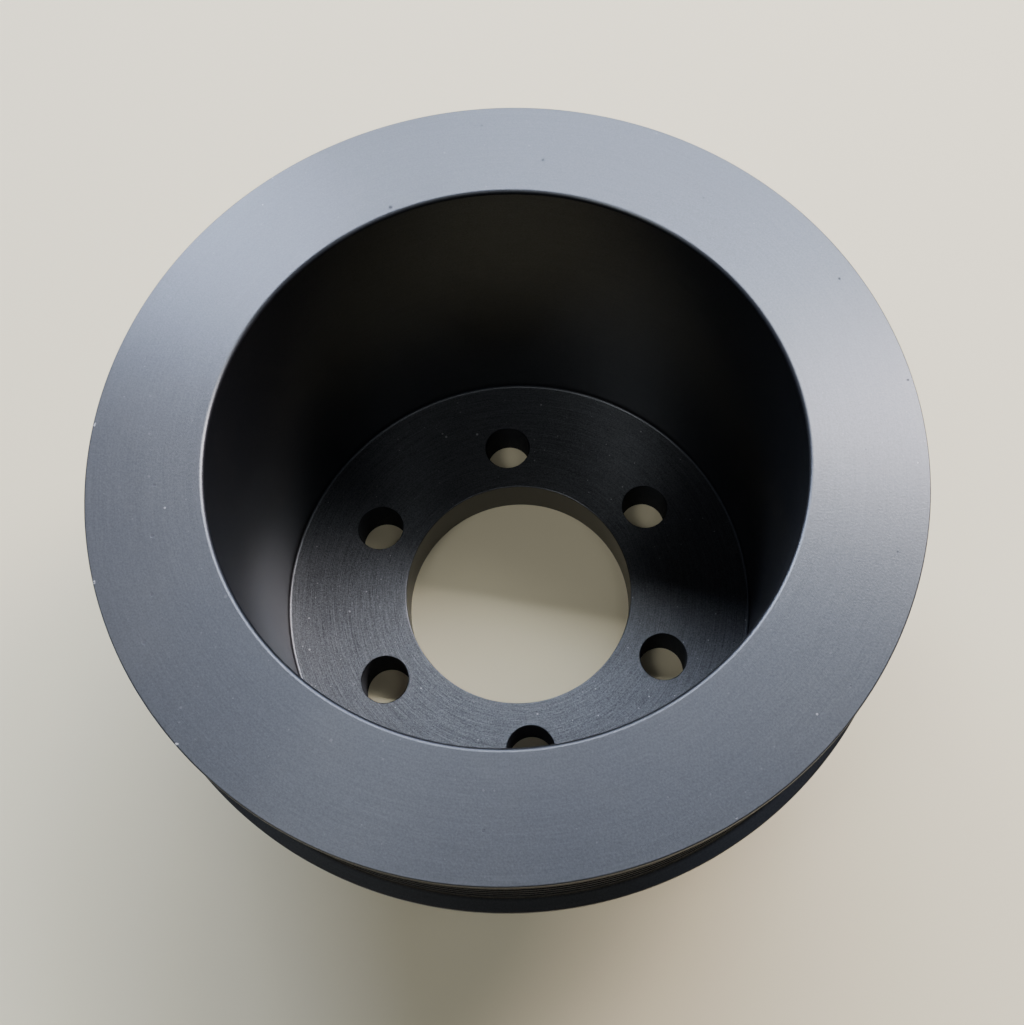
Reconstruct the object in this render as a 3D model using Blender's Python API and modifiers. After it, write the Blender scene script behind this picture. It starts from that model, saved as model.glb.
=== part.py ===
"""Deep-dish belt pulley, turned from one solid billet and drilled. Metres, +Z up.

The origin is the centre of the mounting face. +Z runs along the axis of rotation towards the
open end of the cup, and the first bolt hole is on +Y.

Along the axis, from the mounting face up: a thick web with a pilot bore and six bolt holes, a
plain cup wall, and round the cup's open end a wide rim that carries a multi-rib belt between
two lips, the lower one a little larger. All of it is one piece of metal, so it is one object.
"""

import math

import bmesh
import bpy

# Driving dimensions
UPPER_LIP_RADIUS = 0.1000  # at the open end
LOWER_LIP_RADIUS = 0.1012
HEIGHT = 0.1283  # mounting face to open end
RIM_WIDTH = 0.0380  # along the axis, over both lips
CUP_RADIUS = 0.0718  # the cup's bore
WALL_THICKNESS = 0.0082  # cup wall behind the rim
WEB_THICKNESS = 0.0158
BORE_RADIUS = 0.035  # pilot bore through the web
BOLT_COUNT = 6
BOLT_CIRCLE_RADIUS = 0.049
BOLT_HOLE_RADIUS = 0.0071
FIRST_BOLT_ANGLE = math.radians(90)

# Belt track: V grooves for a belt of standard rib pitch, between the feet of the two lips
TRACK_RADIUS = 0.0980  # at the rib tips
UPPER_LIP_WIDTH = 0.0027
UPPER_LIP_FOOT = 0.0047  # the open end's face to the track
LOWER_LIP_WIDTH = 0.0016
LOWER_LIP_FOOT = 0.0034  # the rim's underside to the track
RIB_COUNT = 8
RIB_PITCH = 0.00356
GROOVE_DEPTH = 0.0029
GROOVE_FLOOR = 0.0007
GROOVE_HALF_ANGLE = math.radians(20)

# Edges and corners
EDGE_BREAK = 0.0004
LOWER_EDGE_BREAK = 0.0005
MOUTH_BREAK = 0.0012
HUB_CHAMFER = 0.0010
WEB_FILLET = 0.0010
RIM_FILLET = 0.0020
FILLET_STEPS = 3

# Facets
TURNED_STEPS = 72
HOLE_STEPS = 24
MERGE_DISTANCE = 0.00001
SHARP_ANGLE = math.radians(30)

OUTER_WALL_RADIUS = CUP_RADIUS + WALL_THICKNESS
RIM_BOTTOM = HEIGHT - RIM_WIDTH
TRACK_TOP = HEIGHT - UPPER_LIP_FOOT
TRACK_BOTTOM = RIM_BOTTOM + LOWER_LIP_FOOT


def arc(centre_radius, centre_height, radius, start, end):
    """Points (radius, height) along an arc in the profile's plane, from start to end degrees."""
    points = []
    for step in range(FILLET_STEPS + 1):
        angle = math.radians(start + (end - start) * step / FILLET_STEPS)
        points.append(
            (
                centre_radius + radius * math.cos(angle),
                centre_height + radius * math.sin(angle),
            )
        )
    return points


def belt_track():
    """The V grooves from the upper lip down to the lower lip, centred between the lips' feet."""
    half_floor = GROOVE_FLOOR / 2
    half_mouth = half_floor + GROOVE_DEPTH * math.tan(GROOVE_HALF_ANGLE)
    first_groove = (TRACK_TOP + TRACK_BOTTOM + (RIB_COUNT - 1) * RIB_PITCH) / 2
    points = []
    for groove in range(RIB_COUNT):
        middle = first_groove - groove * RIB_PITCH
        points += [
            (TRACK_RADIUS, middle + half_mouth),
            (TRACK_RADIUS - GROOVE_DEPTH, middle + half_floor),
            (TRACK_RADIUS - GROOVE_DEPTH, middle - half_floor),
            (TRACK_RADIUS, middle - half_mouth),
        ]
    return points


def rim_profile():
    """The rim's outer side, from the open end's face down to the cup wall."""
    upper_lip = [
        (UPPER_LIP_RADIUS - EDGE_BREAK, HEIGHT),
        (UPPER_LIP_RADIUS, HEIGHT - EDGE_BREAK),
        (UPPER_LIP_RADIUS, HEIGHT - UPPER_LIP_WIDTH),
        (TRACK_RADIUS, TRACK_TOP),
    ]
    lower_lip = [
        (TRACK_RADIUS, TRACK_BOTTOM),
        (LOWER_LIP_RADIUS, RIM_BOTTOM + LOWER_LIP_WIDTH),
        (LOWER_LIP_RADIUS, RIM_BOTTOM + LOWER_EDGE_BREAK),
        (LOWER_LIP_RADIUS - LOWER_EDGE_BREAK, RIM_BOTTOM),
    ]
    corner = arc(
        OUTER_WALL_RADIUS + RIM_FILLET, RIM_BOTTOM - RIM_FILLET, RIM_FILLET, 90, 180
    )
    return upper_lip + belt_track() + lower_lip + corner


def hub_profile():
    """The mounting face and the pilot bore, from the cup wall's foot to the web's inner face."""
    return [
        (OUTER_WALL_RADIUS, HUB_CHAMFER),
        (OUTER_WALL_RADIUS - HUB_CHAMFER, 0),
        (BORE_RADIUS + EDGE_BREAK, 0),
        (BORE_RADIUS, EDGE_BREAK),
        (BORE_RADIUS, WEB_THICKNESS - EDGE_BREAK),
        (BORE_RADIUS + EDGE_BREAK, WEB_THICKNESS),
    ]


def cup_profile():
    """The inside of the cup, from the web's inner face out to the wall and up to the open end."""
    corner = arc(
        CUP_RADIUS - WEB_FILLET, WEB_THICKNESS + WEB_FILLET, WEB_FILLET, 270, 360
    )
    mouth = [(CUP_RADIUS, HEIGHT - MOUTH_BREAK), (CUP_RADIUS + MOUTH_BREAK, HEIGHT)]
    return corner + mouth


def collection_named(name):
    """A new collection in the scene."""
    collection = bpy.data.collections.new(name)
    bpy.context.scene.collection.children.link(collection)
    return collection


def black_anodised():
    """Black anodised aluminium, satin from the lathe."""
    material = bpy.data.materials.new("black_anodised")
    material.use_nodes = True
    shader = material.node_tree.nodes["Principled BSDF"]
    shader.inputs["Base Color"].default_value = (0.022, 0.023, 0.027, 1)
    shader.inputs["Metallic"].default_value = 0.8
    shader.inputs["Roughness"].default_value = 0.42
    return material


def turned(name, profile, collection):
    """A closed (radius, height) profile, turned about Z."""
    mesh = bpy.data.meshes.new(name)
    outline = bmesh.new()
    corners = [outline.verts.new((radius, 0, height)) for radius, height in profile]
    for start, end in zip(corners, corners[1:] + corners[:1]):
        outline.edges.new((start, end))
    outline.to_mesh(mesh)
    outline.free()
    obj = bpy.data.objects.new(name, mesh)
    collection.objects.link(obj)
    screw = obj.modifiers.new("turn", "SCREW")
    screw.axis = "Z"
    screw.angle = math.tau
    screw.steps = screw.render_steps = TURNED_STEPS
    screw.use_merge_vertices = True
    screw.merge_threshold = MERGE_DISTANCE
    return obj


def bolt_drill(index, collection):
    """The cutter for one bolt hole, longer than the web is thick, with a flat facing the axis."""
    angle = FIRST_BOLT_ANGLE - index * math.tau / BOLT_COUNT
    bpy.ops.mesh.primitive_cylinder_add(
        vertices=HOLE_STEPS,
        radius=BOLT_HOLE_RADIUS,
        depth=WEB_THICKNESS * 2,
        location=(
            BOLT_CIRCLE_RADIUS * math.cos(angle),
            BOLT_CIRCLE_RADIUS * math.sin(angle),
            WEB_THICKNESS / 2,
        ),
        rotation=(0, 0, angle + math.pi / HOLE_STEPS),
    )
    drill = bpy.context.object
    drill.name = f"bolt_drill_{index + 1}"
    for owner in list(drill.users_collection):
        owner.objects.unlink(drill)
    collection.objects.link(drill)
    drill.hide_render = True
    drill.display_type = "WIRE"
    return drill


def cut(obj, cutter):
    """Cuts cutter's shape out of obj."""
    boolean = obj.modifiers.new(cutter.name, "BOOLEAN")
    boolean.operation = "DIFFERENCE"
    boolean.solver = "EXACT"
    boolean.object = cutter


def finished(obj):
    """Puts obj's evaluated shape in its mesh, smooth but for its real edges."""
    graph = bpy.context.evaluated_depsgraph_get()
    mesh = bpy.data.meshes.new_from_object(obj.evaluated_get(graph))
    mesh.name = obj.name
    obj.modifiers.clear()
    obj.data = mesh
    mesh.shade_smooth()
    mesh.set_sharp_from_angle(angle=SHARP_ANGLE)


def main():
    for obj in list(bpy.data.objects):
        bpy.data.objects.remove(obj, do_unlink=True)
    parts = collection_named("deep_dish_belt_pulley")
    cutters = collection_named("cutters")
    profile = rim_profile() + hub_profile() + cup_profile()
    pulley = turned("belt_pulley", profile, parts)
    for index in range(BOLT_COUNT):
        cut(pulley, bolt_drill(index, cutters))
    finished(pulley)
    pulley.data.materials.clear()
    pulley.data.materials.append(black_anodised())


main()
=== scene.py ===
"""A deep-dish belt pulley in black anodised aluminium, on a pale floor in soft studio light.

The fine turned and drilled body replaces the plain CAD solid. It stands in the same place and
takes its overall sizes from the CAD frame.
"""

import math

import bmesh
import bpy
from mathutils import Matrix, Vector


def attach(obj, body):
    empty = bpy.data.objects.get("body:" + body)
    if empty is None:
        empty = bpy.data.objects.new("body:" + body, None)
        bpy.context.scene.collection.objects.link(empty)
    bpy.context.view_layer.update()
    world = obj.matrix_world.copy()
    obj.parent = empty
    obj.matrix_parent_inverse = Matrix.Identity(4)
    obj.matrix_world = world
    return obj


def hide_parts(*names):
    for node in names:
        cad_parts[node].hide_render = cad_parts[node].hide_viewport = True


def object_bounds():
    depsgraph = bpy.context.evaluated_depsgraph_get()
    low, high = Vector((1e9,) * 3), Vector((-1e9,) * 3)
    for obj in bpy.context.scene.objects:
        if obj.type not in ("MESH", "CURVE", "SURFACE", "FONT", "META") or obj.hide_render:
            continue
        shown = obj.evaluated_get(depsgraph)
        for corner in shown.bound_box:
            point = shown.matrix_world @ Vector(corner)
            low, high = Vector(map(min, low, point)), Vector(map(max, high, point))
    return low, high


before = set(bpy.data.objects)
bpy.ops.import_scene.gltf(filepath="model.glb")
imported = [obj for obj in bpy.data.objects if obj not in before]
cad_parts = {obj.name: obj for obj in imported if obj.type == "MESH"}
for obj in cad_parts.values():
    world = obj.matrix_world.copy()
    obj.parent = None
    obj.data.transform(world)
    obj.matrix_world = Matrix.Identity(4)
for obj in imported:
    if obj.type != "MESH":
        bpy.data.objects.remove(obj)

cad_low, cad_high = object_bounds()

# Sizes from the frame
LOWER_LIP_RADIUS = cad_high.x
HEIGHT = cad_high.z

# Sizes that the frame's box doesn't give
UPPER_LIP_RADIUS = 0.1000
RIM_WIDTH = 0.0380
CUP_RADIUS = 0.0718
OUTER_WALL_RADIUS = 0.080
WEB_THICKNESS = 0.0158
BORE_RADIUS = 0.035
BOLT_COUNT = 6
BOLT_CIRCLE_RADIUS = 0.049
BOLT_HOLE_RADIUS = 0.0071
FIRST_BOLT_ANGLE = math.radians(90)

# Belt track: the number and the pitch of its grooves are guessed
TRACK_RADIUS = 0.0980
UPPER_LIP_WIDTH = 0.0027
UPPER_LIP_FOOT = 0.0047
LOWER_LIP_WIDTH = 0.0016
LOWER_LIP_FOOT = 0.0034
RIB_COUNT = 8
RIB_PITCH = 0.00356
GROOVE_DEPTH = 0.0029
GROOVE_FLOOR = 0.0007
GROOVE_HALF_ANGLE = math.radians(20)

# Rounding of edges and corners
EDGE_ROUND = 0.0004
MOUTH_ROUND = 0.0012
LOWER_EDGE_ROUND = 0.0005
LIP_ROUND = 0.0003
LIP_FOOT_ROUND = 0.0009
RIB_ROUND = 0.00022
WEB_FILLET = 0.0010
RIM_FILLET = 0.0020
HUB_ROUND = 0.0010
BORE_ROUND = 0.0004
HOLE_CHAMFER = 0.00025
ROUND_STEP = math.radians(15)

TURNED_STEPS = 288
HOLE_STEPS = 96
MERGE_DISTANCE = 0.000002
SHARP_ANGLE = math.radians(35)
FLAT_FACE_WEIGHT = 50

# Base colours: the first two are pairs that the clouds mix
BLACK = ((0.0036, 0.0038, 0.0048, 1), (0.0050, 0.0047, 0.0048, 1))
# The ring face's lighter pair is painted light: the lit top face made lighter than the rest of the
# same black
RING_FACE_PAINTED_LIGHT = ((0.0092, 0.0096, 0.0114, 1), (0.0118, 0.0114, 0.0116, 1))
SMUDGE_COLOUR = (0.016, 0.015, 0.0135, 1)
DUST_COLOUR = (0.42, 0.40, 0.38, 1)
NICK_COLOUR = (0.30, 0.29, 0.28, 1)
# Painted shade in the bolt holes: their walls darker than the rest
HOLE_PAINTED_SHADE = (0.0016, 0.0016, 0.0018, 1)

# Noise in rings round the axis: pitch, how much it changes on the way round, detail
TURNING_MARKS = (0.00026, 5.0, 3.0)
WIDE_MARKS = (0.0009, 9.0, 2.0)
TOOL_PASSES = (0.0060, 1.2, 2.0)
RING_NOISE_ROUGHNESS = 0.6

# Plain noise: scale, detail, roughness
CLOUDS = (34.0, 3.0, 0.55)
SMUDGES = (75.0, 4.0, 0.6)
GRAIN = (2200.0, 3.0, 0.7)
NICKS = (420.0, 2.0, 0.5)

# Levels of noise between which a mark fades in
CLOUD_LEVELS = (0.35, 0.75)
SMUDGE_LEVELS = (0.60, 0.80)
NICK_LEVELS = (0.715, 0.735)
STRONGEST_SMUDGE = 0.5

# Spots on level faces: spacing of their cells, largest size, share of the cells with a spot
COARSE_DUST = (0.011, 0.0009, 0.30)
FINE_DUST = (0.004, 0.0005, 0.30)
SPARSE_DUST = (0.030, 0.0009, 0.4)
PITS = (0.014, 0.0012, 0.25)
SPARSE_DUST_AMOUNT = 0.35
SPOT_EDGE = (0.7, 1.0)
SMALLEST_REACH = 0.00001

# Amounts on plain faces, and how much more there is on the web
DUST_AMOUNT = (0.06, 0.32)
STREAK_GLOSS = (0.15, 0.50)
GRAIN_GLOSS = (0.36, 0.64)
MARK_HEIGHT = (0.2, 2.0)
GRAIN_HEIGHT = (1.1, 0.8)

# Gloss, and what the darker places lose of it as painted shade: the cup wall, the bolt holes, the
# outer wall under the rim, the belt track and the upper lip's side
MEAN_NOISE = 0.5
GLOSS = 0.5
WALL_LOSS = 0.14
DRILLED_LOSS = 0.30
OUTSIDE_LOSS = 0.28
TRACK_LOSS = 0.39
LIP_LOSS = 0.46
LEAST_GLOSS = 0.01

# Roughness, and what each kind of mark and place adds to it
ROUGHNESS = 0.30
MARK_ROUGHNESS = 0.03
CLOUD_ROUGHNESS = 0.03
FACE_ROUGHNESS = 0.035
GRAIN_ROUGHNESS = 0.06
PIT_ROUGHNESS = 0.3
DRILLED_ROUGHNESS = 0.5
TRACK_ROUGHNESS = 0.1

# Relief
WIDE_MARK_HEIGHT = 1.3
PASS_HEIGHT = 0.3
PIT_DEPTH = 1.0
BUMP_STRENGTH = 0.5
BUMP_DISTANCE = 0.00003

# Sheen of the turned surface, drawn out across the turning marks
REFRACTION = 1.7
ANISOTROPY = 0.75
ANISOTROPY_TURN = 0.25

# Upward share of the normal from which a face counts as level
LEVEL_NORMALS = (0.9, 0.98)
# Radii from which a point counts as on the belt track, and as on the nicked outer edge
TRACK_RADII = (0.085, 0.086)
NICKED_RADII = (0.0991, 0.0995)

# Where masks fade in or out, from the face or edge that bounds them
WEB_FADE = (0.001, 0.003)
RING_FADE = (-0.002, -0.0005)
EDGE_FADE = (-0.002, -0.001)
CUP_FADE_IN = (-0.0015, -0.0005)
CUP_FADE_OUT = (0.0001, 0.0003)
TRACK_TOP_FADE = (-0.0008, -0.0002)
LIP_FOOT_FADE = (-0.0006, 0.0)
OUTER_WALL_FADE = (-0.001, -0.0005)
UNDERSIDE_FADE = (-0.0004, -0.0002)
HOLE_MARGIN = 0.0001

FLOOR_SIZE = 8
FLOOR_COLOUR = (0.75, 0.64, 0.405, 1)
FLOOR_ROUGHNESS = 0.7
FLOOR_GLOSS = 0.3

# Softboxes: their common height, and the direction from the pulley to the main bank
LIGHT_HEIGHT = 1.6
LIGHT_HEADING = math.radians(74.9)
PLAIN = (0.93, 1.0, 1.09)
COOL = (0.84, 1.0, 1.42)
ROSY = (1.10, 1.0, 1.06)
# Each: name, near, far, left, right, brightness, colour
SOFTBOXES = (
    ("strip_left", 0.54, 0.565, -0.4, -0.2, 88, PLAIN),
    ("strip", 0.54, 0.565, -0.2, 0.2, 136, PLAIN),
    ("strip_right", 0.54, 0.565, 0.2, 0.6, 84, ROSY),
    ("sky_behind_strip", 0.565, 0.64, -0.4, 0.4, 19, COOL),
    ("sky_left", 0.54, 0.64, -0.9, -0.4, 22, COOL),
    ("sky_far_left", 0.64, 0.80, -0.9, -0.4, 35, COOL),
    ("bank_right", 0.565, 0.80, 0.4, 0.9, 42, ROSY),
    ("sky_far", 0.64, 1.6, -0.4, 0.4, 6.9, COOL),
    ("sky_far_right", 0.64, 0.90, 0.0, 0.4, 5, ROSY),
    ("spill_right", 0.42, 0.54, 0.10, 0.65, 14, PLAIN),
    ("spill_low_right", 0.28, 0.42, 0.10, 0.50, 2.0, PLAIN),
    ("overhead_left", -0.40, -0.22, -0.38, -0.18, 12, PLAIN),
    ("overhead_soft", -0.50, -0.25, -0.6, 0.3, 2.0, PLAIN),
    ("overhead_right", -0.20, -0.05, 0.22, 0.40, 5, PLAIN),
    ("room_left", -1.2, 0.3, -2.2, -0.7, 0.35, COOL),
    ("room_right", -1.2, 0.3, 0.7, 2.2, 0.30, COOL),
)
ROOM_COLOUR = (0.90, 0.96, 1.0, 1)
ROOM_BRIGHTNESS = 0.03

# Camera
LENS_LENGTH = 47.10
SENSOR_WIDTH = 36
LENS_SHIFT = (-0.01422, -0.14543)
NEAREST_SEEN = 0.01
CAMERA_PLACE = (0.00149, -0.13373, 0.4192)
CAMERA_TURN = (27.883, 1.305, -4.385)


# ---------------------------------------------------------------- shape


def rounded(corners):
    """The closed (radius, height) outline through corners (radius, height, rounding)."""
    outline = []
    count = len(corners)
    for index, (x, y, rounding) in enumerate(corners):
        if not rounding:
            outline.append((x, y))
            continue
        before, after = corners[index - 1], corners[(index + 1) % count]
        to_before = unit(before[0] - x, before[1] - y)
        to_after = unit(after[0] - x, after[1] - y)
        opening = math.acos(
            max(-1.0, min(1.0, to_before[0] * to_after[0] + to_before[1] * to_after[1]))
        )
        reach = rounding / math.tan(opening / 2)
        bisector = unit(to_before[0] + to_after[0], to_before[1] + to_after[1])
        middle = rounding / math.sin(opening / 2)
        centre = (x + bisector[0] * middle, y + bisector[1] * middle)
        start = (x + to_before[0] * reach, y + to_before[1] * reach)
        end = (x + to_after[0] * reach, y + to_after[1] * reach)
        first = math.atan2(start[1] - centre[1], start[0] - centre[0])
        sweep = math.atan2(end[1] - centre[1], end[0] - centre[0]) - first
        sweep = (sweep + math.pi) % math.tau - math.pi
        steps = max(2, round(abs(sweep) / ROUND_STEP))
        for step in range(steps + 1):
            angle = first + sweep * step / steps
            outline.append(
                (
                    centre[0] + rounding * math.cos(angle),
                    centre[1] + rounding * math.sin(angle),
                )
            )
    return outline


def unit(x, y):
    """The direction of (x, y)."""
    length = math.hypot(x, y)
    return x / length, y / length


def rim_corners():
    """The rim's outer side: upper lip, V grooves, lower lip and the step in to the cup wall."""
    bottom = HEIGHT - RIM_WIDTH
    upper_foot = HEIGHT - UPPER_LIP_FOOT
    lower_foot = bottom + LOWER_LIP_FOOT
    half_floor = GROOVE_FLOOR / 2
    half_mouth = half_floor + GROOVE_DEPTH * math.tan(GROOVE_HALF_ANGLE)
    first_groove = (upper_foot + lower_foot + (RIB_COUNT - 1) * RIB_PITCH) / 2
    corners = [
        (UPPER_LIP_RADIUS, HEIGHT, EDGE_ROUND),
        (UPPER_LIP_RADIUS, HEIGHT - UPPER_LIP_WIDTH, LIP_ROUND),
        (TRACK_RADIUS, upper_foot, 0),
    ]
    for groove in range(RIB_COUNT):
        middle = first_groove - groove * RIB_PITCH
        corners += [
            (TRACK_RADIUS, middle + half_mouth, RIB_ROUND),
            (TRACK_RADIUS - GROOVE_DEPTH, middle + half_floor, RIB_ROUND),
            (TRACK_RADIUS - GROOVE_DEPTH, middle - half_floor, RIB_ROUND),
            (TRACK_RADIUS, middle - half_mouth, RIB_ROUND),
        ]
    corners += [
        (TRACK_RADIUS, lower_foot, LIP_FOOT_ROUND),
        (LOWER_LIP_RADIUS, bottom + LOWER_LIP_WIDTH, LIP_ROUND),
        (LOWER_LIP_RADIUS, bottom, LOWER_EDGE_ROUND),
        (OUTER_WALL_RADIUS, bottom, RIM_FILLET),
    ]
    return corners


def body_corners():
    """The cup wall's foot, the mounting face, the bore, the web and the inside of the cup."""
    return [
        (OUTER_WALL_RADIUS, 0, HUB_ROUND),
        (BORE_RADIUS, 0, BORE_ROUND),
        (BORE_RADIUS, WEB_THICKNESS, BORE_ROUND),
        (CUP_RADIUS, WEB_THICKNESS, WEB_FILLET),
        (CUP_RADIUS, HEIGHT, MOUTH_ROUND),
    ]


def turned(name, outline, steps):
    """An object whose closed (radius, height) outline is turned about Z."""
    mesh = bpy.data.meshes.new(name)
    wire = bmesh.new()
    corners = [wire.verts.new((radius, 0, height)) for radius, height in outline]
    for start, end in zip(corners, corners[1:] + corners[:1]):
        wire.edges.new((start, end))
    wire.to_mesh(mesh)
    wire.free()
    obj = bpy.data.objects.new(name, mesh)
    bpy.context.scene.collection.objects.link(obj)
    screw = obj.modifiers.new("turn", "SCREW")
    screw.angle = math.tau
    screw.steps = screw.render_steps = steps
    screw.use_merge_vertices = True
    screw.merge_threshold = MERGE_DISTANCE
    return obj


def bolt_drills():
    """One cutter for all the bolt holes, with a small countersink at each face of the web."""
    mesh = bpy.data.meshes.new("bolt_drills")
    shape = bmesh.new()
    overrun = WEB_THICKNESS / 2
    wide = BOLT_HOLE_RADIUS + HOLE_CHAMFER + overrun
    rings = [
        (wide, -overrun),
        (BOLT_HOLE_RADIUS, HOLE_CHAMFER),
        (BOLT_HOLE_RADIUS, WEB_THICKNESS - HOLE_CHAMFER),
        (wide, WEB_THICKNESS + overrun),
    ]
    for index in range(BOLT_COUNT):
        place = FIRST_BOLT_ANGLE + index * math.tau / BOLT_COUNT
        centre = (
            BOLT_CIRCLE_RADIUS * math.cos(place),
            BOLT_CIRCLE_RADIUS * math.sin(place),
        )
        loops = []
        for radius, height in rings:
            loop = []
            for step in range(HOLE_STEPS):
                angle = place + math.tau * (step + 0.5) / HOLE_STEPS
                loop.append(
                    shape.verts.new(
                        (
                            centre[0] + radius * math.cos(angle),
                            centre[1] + radius * math.sin(angle),
                            height,
                        )
                    )
                )
            loops.append(loop)
        for below, above in zip(loops, loops[1:]):
            for step in range(HOLE_STEPS):
                after = (step + 1) % HOLE_STEPS
                shape.faces.new((below[step], below[after], above[after], above[step]))
        shape.faces.new(list(reversed(loops[0])))
        shape.faces.new(loops[-1])
    shape.to_mesh(mesh)
    shape.free()
    drills = bpy.data.objects.new("bolt_drills", mesh)
    bpy.context.scene.collection.objects.link(drills)
    return drills


def evaluated_mesh(obj):
    """obj's mesh with its modifiers applied."""
    graph = bpy.context.evaluated_depsgraph_get()
    return bpy.data.meshes.new_from_object(obj.evaluated_get(graph))


def pulley_body():
    """The whole pulley: turned, drilled, smooth but for its real edges."""
    body = turned("belt_pulley_fine", rounded(rim_corners() + body_corners()), TURNED_STEPS)
    drills = bolt_drills()
    cut = body.modifiers.new("drill", "BOOLEAN")
    cut.operation = "DIFFERENCE"
    cut.solver = "EXACT"
    cut.object = drills
    mesh = evaluated_mesh(body)
    body.modifiers.clear()
    body.data = mesh
    bpy.data.objects.remove(drills, do_unlink=True)
    mesh.shade_smooth()
    mesh.set_sharp_from_angle(angle=SHARP_ANGLE)
    flatten = body.modifiers.new("flat_faces_stay_flat", "WEIGHTED_NORMAL")
    flatten.mode = "FACE_AREA"
    flatten.weight = FLAT_FACE_WEIGHT
    flatten.keep_sharp = True
    return body


# ------------------------------------------------------------- material


class Nodes:
    """A few short forms for building a node tree."""

    def __init__(self, material):
        self.tree = material.node_tree

    def add(self, kind, **settings):
        node = self.tree.nodes.new(kind)
        for name, value in settings.items():
            setattr(node, name, value)
        return node

    def link(self, source, target):
        self.tree.links.new(source, target)

    def feed(self, socket, value):
        """Sets a socket to a number or links it to another node's output."""
        if isinstance(value, bpy.types.NodeSocket):
            self.link(value, socket)
        else:
            socket.default_value = value

    def math(self, operation, first, second=0.0, third=0.0):
        node = self.add("ShaderNodeMath", operation=operation)
        for socket, value in zip(node.inputs, (first, second, third)):
            self.feed(socket, value)
        return node.outputs[0]

    def plus(self, first, second):
        return self.math("ADD", first, second)

    def minus(self, first, second):
        return self.math("SUBTRACT", first, second)

    def times(self, first, second):
        return self.math("MULTIPLY", first, second)

    def more_on(self, mask, amounts):
        """The first of two amounts, with the second added where mask is 1."""
        return self.plus(amounts[0], self.times(mask, amounts[1]))

    def between(self, value, low, high, to_low=0.0, to_high=1.0):
        """value from low..high to to_low..to_high, smooth and clamped."""
        node = self.add("ShaderNodeMapRange", interpolation_type="SMOOTHSTEP")
        for name, given in (
            ("Value", value),
            ("From Min", low),
            ("From Max", high),
            ("To Min", to_low),
            ("To Max", to_high),
        ):
            self.feed(node.inputs[name], given)
        return node.outputs["Result"]

    def below(self, value, low, high):
        """1 where value is under low, falling to 0 at high."""
        return self.between(value, low, high, 1, 0)

    def rise(self, value, place, fade):
        """0 to 1 where value passes place, between the two distances of fade from it."""
        return self.between(value, place + fade[0], place + fade[1])

    def fall(self, value, place, fade):
        """1 to 0 where value passes place, between the two distances of fade from it."""
        return self.below(value, place + fade[0], place + fade[1])

    def mix(self, factor, first, second):
        """A colour mix."""
        node = self.add("ShaderNodeMix", data_type="RGBA")
        self.feed(node.inputs["Factor"], factor)
        self.feed(node.inputs["A"], first)
        self.feed(node.inputs["B"], second)
        return node.outputs["Result"]

    def noise(self, vector, scale, detail=2.0, roughness=0.5, w=None):
        node = self.add("ShaderNodeTexNoise", noise_dimensions="3D" if w is None else "4D")
        self.link(vector, node.inputs["Vector"])
        if w is not None:
            self.link(w, node.inputs["W"])
        node.inputs["Scale"].default_value = scale
        node.inputs["Detail"].default_value = detail
        node.inputs["Roughness"].default_value = roughness
        return node.outputs["Fac"]


class Places:
    """Where a point lies: its coordinates, and masks that are 1 in one place and 0 elsewhere."""

    def __init__(self, n):
        self.point = n.add("ShaderNodeTexCoord").outputs["Object"]
        split = n.add("ShaderNodeSeparateXYZ")
        n.link(self.point, split.inputs[0])
        self.x, self.y, self.z = split.outputs
        self.radius = n.math("SQRT", n.plus(n.times(self.x, self.x), n.times(self.y, self.y)))
        facing = n.add("ShaderNodeSeparateXYZ")
        n.link(n.add("ShaderNodeNewGeometry").outputs["Normal"], facing.inputs[0])
        self.upward = n.between(facing.outputs[2], *LEVEL_NORMALS)
        self.web = n.times(self.upward, n.fall(self.z, WEB_THICKNESS, WEB_FADE))
        self.face = n.times(self.upward, n.rise(self.z, HEIGHT, RING_FADE))
        self.edge = self.nicked_edge(n)
        self.drilled = self.bolt_holes(n)
        self.wall = self.cup_wall(n)
        self.track = self.belt_track(n)
        self.outside = self.outer_wall(n)

    def nicked_edge(self, n):
        """The outermost edge of the ring at the open end."""
        out = n.between(self.radius, *NICKED_RADII)
        return n.times(out, n.rise(self.z, HEIGHT, EDGE_FADE))

    def bolt_holes(self, n):
        """The walls of the bolt holes."""
        sector = math.tau / BOLT_COUNT
        turn = n.minus(n.math("ARCTAN2", self.y, self.x), FIRST_BOLT_ANGLE - sector / 2)
        turn = n.minus(n.math("FLOORED_MODULO", turn, sector), sector / 2)
        along = n.minus(n.times(self.radius, n.math("COSINE", turn)), BOLT_CIRCLE_RADIUS)
        across = n.times(self.radius, n.math("SINE", turn))
        away = n.math("SQRT", n.plus(n.times(along, along), n.times(across, across)))
        inside = n.math("LESS_THAN", away, BOLT_HOLE_RADIUS + HOLE_MARGIN)
        return n.times(inside, n.math("LESS_THAN", self.z, WEB_THICKNESS - HOLE_MARGIN))

    def cup_wall(self, n):
        """The inside of the cup's wall."""
        within = n.minus(1.0, n.rise(self.radius, CUP_RADIUS, CUP_FADE_OUT))
        upright = n.times(within, n.minus(1.0, self.upward))
        return n.times(upright, n.rise(self.radius, CUP_RADIUS, CUP_FADE_IN))

    def belt_track(self, n):
        """The upper lip's side and the belt track, down to the foot of the lower lip."""
        lip_foot = HEIGHT - RIM_WIDTH + LOWER_LIP_FOOT
        out = n.between(self.radius, *TRACK_RADII)
        under_face = n.times(out, n.fall(self.z, HEIGHT, TRACK_TOP_FADE))
        return n.times(under_face, n.rise(self.z, lip_foot, LIP_FOOT_FADE))

    def outer_wall(self, n):
        """The outside of the cup's wall, below the rim."""
        out = n.rise(self.radius, OUTER_WALL_RADIUS, OUTER_WALL_FADE)
        return n.times(out, n.fall(self.z, HEIGHT - RIM_WIDTH, UNDERSIDE_FADE))


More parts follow.
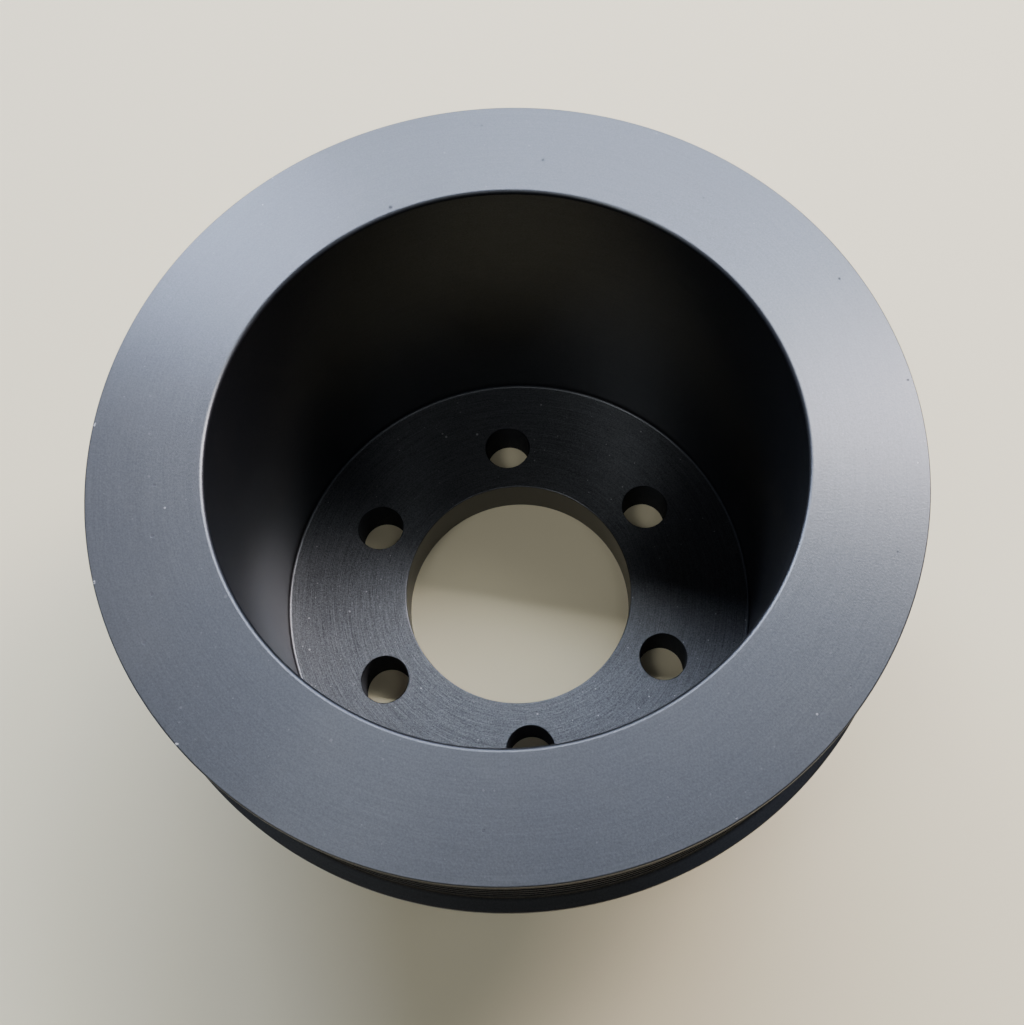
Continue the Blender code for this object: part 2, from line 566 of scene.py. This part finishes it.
def rings(n, at, pitch, wander, detail):
    """Noise in rings round the axis, pitch apart, that changes more on the way round with wander."""
    along = n.add("ShaderNodeCombineXYZ")
    n.link(n.math("DIVIDE", at.radius, pitch), along.inputs[0])
    n.link(n.math("DIVIDE", at.z, pitch), along.inputs[1])
    n.link(n.times(n.math("DIVIDE", at.x, at.radius), wander), along.inputs[2])
    turn = n.times(n.math("DIVIDE", at.y, at.radius), wander)
    return n.noise(along.outputs[0], 1.0, detail, RING_NOISE_ROUGHNESS, w=turn)


def specks(n, at, spacing, size, share):
    """Round spots up to size across on level faces, in a share of the cells spacing apart."""
    cells = n.add("ShaderNodeTexVoronoi", voronoi_dimensions="2D")
    n.link(at.point, cells.inputs["Vector"])
    cells.inputs["Scale"].default_value = 1 / spacing
    chance = n.add("ShaderNodeSeparateColor")
    n.link(cells.outputs["Color"], chance.inputs[0])
    reach = n.times(chance.outputs[1], size / spacing / 2)
    reach = n.times(reach, n.math("LESS_THAN", chance.outputs[0], share))
    spot = n.math("DIVIDE", cells.outputs["Distance"], n.plus(reach, SMALLEST_REACH))
    return n.times(n.below(spot, *SPOT_EDGE), at.upward)


def base_colour(n, at, clouds):
    """Near black, made a little lighter on the ring face as painted light, with smudges, dust, bare
    nicks and painted shade in the bolt holes.
    """
    dust = n.math("MAXIMUM", specks(n, at, *COARSE_DUST), specks(n, at, *FINE_DUST))
    dust = n.times(dust, n.more_on(at.web, DUST_AMOUNT))
    sparse = n.times(specks(n, at, *SPARSE_DUST), SPARSE_DUST_AMOUNT)
    dust = n.math("MAXIMUM", dust, sparse)
    nicks = n.times(at.edge, n.between(n.noise(at.point, *NICKS), *NICK_LEVELS))
    smudges = n.between(n.noise(at.point, *SMUDGES), *SMUDGE_LEVELS, 0.0, STRONGEST_SMUDGE)
    shade = n.between(clouds, *CLOUD_LEVELS)
    # Painted light: the ring face gets the lighter black
    base = n.mix(at.face, n.mix(shade, *BLACK), n.mix(shade, *RING_FACE_PAINTED_LIGHT))
    base = n.mix(smudges, base, SMUDGE_COLOUR)
    base = n.mix(dust, base, DUST_COLOUR)
    base = n.mix(nicks, base, NICK_COLOUR)
    # Painted shade: the bolt holes' walls darker
    return n.mix(at.drilled, base, HOLE_PAINTED_SHADE)


def gloss(n, at, turning_marks, grain):
    """How strongly the surface reflects: streaked by the turning marks and glinting with grain. Less
    in the cup, the bolt holes, under the rim and on the track, as painted shade.
    """
    streaks = n.times(n.minus(turning_marks, MEAN_NOISE), n.more_on(at.web, STREAK_GLOSS))
    glints = n.times(n.minus(grain, MEAN_NOISE), n.more_on(at.web, GRAIN_GLOSS))
    level = n.plus(GLOSS, n.plus(streaks, glints))
    for place, loss in (
        (at.wall, WALL_LOSS),
        (at.drilled, DRILLED_LOSS),
        (at.outside, OUTSIDE_LOSS),
    ):
        level = n.minus(level, n.times(place, loss))
    # Painted shade on the upper lip's side and the belt track
    lip_foot, lip = HEIGHT - UPPER_LIP_FOOT, HEIGHT - UPPER_LIP_WIDTH
    loss = n.between(at.z, lip_foot, lip, TRACK_LOSS, LIP_LOSS)
    return n.math("MAXIMUM", n.minus(level, n.times(at.track, loss)), LEAST_GLOSS)


def roughness(n, at, turning_marks, clouds, grain, pits):
    """How widely reflections spread."""
    rough = n.plus(ROUGHNESS - MARK_ROUGHNESS, n.times(turning_marks, MARK_ROUGHNESS))
    for place, amount in (
        (clouds, CLOUD_ROUGHNESS),
        (at.face, FACE_ROUGHNESS),
        (n.minus(grain, MEAN_NOISE), GRAIN_ROUGHNESS),
        (pits, PIT_ROUGHNESS),
        (at.drilled, DRILLED_ROUGHNESS),
        (at.track, TRACK_ROUGHNESS),
    ):
        rough = n.plus(rough, n.times(place, amount))
    return rough


def relief(n, at, turning_marks, grain, pits):
    """The bumpy surface's normal: turning marks, grain and tool passes, with sunk pits."""
    marks = n.plus(turning_marks, n.times(rings(n, at, *WIDE_MARKS), WIDE_MARK_HEIGHT))
    marks = n.times(marks, n.more_on(at.web, MARK_HEIGHT))
    height = n.plus(marks, n.times(grain, n.more_on(at.web, GRAIN_HEIGHT)))
    height = n.plus(height, n.times(rings(n, at, *TOOL_PASSES), PASS_HEIGHT))
    height = n.minus(height, n.times(pits, PIT_DEPTH))
    bump = n.add("ShaderNodeBump")
    bump.inputs["Strength"].default_value = BUMP_STRENGTH
    bump.inputs["Distance"].default_value = BUMP_DISTANCE
    n.link(height, bump.inputs["Height"])
    return bump.outputs[0]


def black_anodised():
    """Black anodised aluminium, turned: ring marks, grain, cloudy sheen, dust, worn edge."""
    material = bpy.data.materials.new("black_anodised_turned")
    material.use_nodes = True
    n = Nodes(material)
    shader = n.tree.nodes["Principled BSDF"]
    at = Places(n)
    marks = rings(n, at, *TURNING_MARKS)
    clouds = n.noise(at.point, *CLOUDS)
    grain = n.noise(at.point, *GRAIN)
    pits = n.times(specks(n, at, *PITS), n.minus(1.0, at.web))
    n.link(base_colour(n, at, clouds), shader.inputs["Base Color"])
    n.link(gloss(n, at, marks, grain), shader.inputs["Specular IOR Level"])
    n.link(roughness(n, at, marks, clouds, grain, pits), shader.inputs["Roughness"])
    n.link(relief(n, at, marks, grain, pits), shader.inputs["Normal"])
    shader.inputs["IOR"].default_value = REFRACTION
    shader.inputs["Anisotropic"].default_value = ANISOTROPY
    shader.inputs["Anisotropic Rotation"].default_value = ANISOTROPY_TURN
    tangent = n.add("ShaderNodeTangent", direction_type="RADIAL", axis="Z")
    n.link(tangent.outputs[0], shader.inputs["Tangent"])
    return material


# --------------------------------------------------- floor, light, camera


def pale_floor():
    """A plain pale floor under the mounting face."""
    bpy.ops.mesh.primitive_plane_add(size=FLOOR_SIZE, location=(0, 0, cad_low.z))
    floor = bpy.context.object
    floor.name = "floor"
    material = bpy.data.materials.new("pale_floor")
    material.use_nodes = True
    shader = material.node_tree.nodes["Principled BSDF"]
    shader.inputs["Base Color"].default_value = FLOOR_COLOUR
    shader.inputs["Roughness"].default_value = FLOOR_ROUGHNESS
    shader.inputs["Specular IOR Level"].default_value = FLOOR_GLOSS
    floor.data.materials.append(material)


def softbox(name, near, far, left, right, brightness, colour):
    """A level rectangular light that faces down.

    near and far are along LIGHT_HEADING, left and right across it, all from the pulley's axis
    and as shares of LIGHT_HEIGHT. brightness is what a camera would see looking into it.
    """
    lamp = bpy.data.lights.new(name, "AREA")
    lamp.shape = "RECTANGLE"
    lamp.size = (right - left) * LIGHT_HEIGHT
    lamp.size_y = (far - near) * LIGHT_HEIGHT
    lamp.energy = math.pi * lamp.size * lamp.size_y * brightness
    lamp.color = colour
    light = bpy.data.objects.new(name, lamp)
    bpy.context.scene.collection.objects.link(light)
    along = (near + far) / 2 * LIGHT_HEIGHT
    across = (left + right) / 2 * LIGHT_HEIGHT
    light.location = (
        along * math.cos(LIGHT_HEADING) + across * math.sin(LIGHT_HEADING),
        along * math.sin(LIGHT_HEADING) - across * math.cos(LIGHT_HEADING),
        LIGHT_HEIGHT,
    )
    light.rotation_euler = (0, 0, LIGHT_HEADING - math.pi / 2)


def studio():
    """A bright narrow strip beyond the pulley in a wide bank of softer light, faint all round."""
    for box in SOFTBOXES:
        softbox(*box)
    world = bpy.data.worlds.new("room")
    world.use_nodes = True
    background = world.node_tree.nodes["Background"]
    background.inputs["Color"].default_value = ROOM_COLOUR
    background.inputs["Strength"].default_value = ROOM_BRIGHTNESS
    bpy.context.scene.world = world


def viewpoint():
    """The camera, held over the near side of the rim and looking down into the cup."""
    lens = bpy.data.cameras.new("camera")
    lens.lens = LENS_LENGTH
    lens.sensor_width = SENSOR_WIDTH
    lens.shift_x, lens.shift_y = LENS_SHIFT
    lens.clip_start = NEAREST_SEEN
    camera = bpy.data.objects.new("camera", lens)
    bpy.context.scene.collection.objects.link(camera)
    camera.location = CAMERA_PLACE
    camera.rotation_euler = [math.radians(angle) for angle in CAMERA_TURN]
    bpy.context.scene.camera = camera


pulley = pulley_body()
pulley.data.materials.clear()
pulley.data.materials.append(black_anodised())
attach(pulley, "root")
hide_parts("belt_pulley")
pale_floor()
studio()
viewpoint()
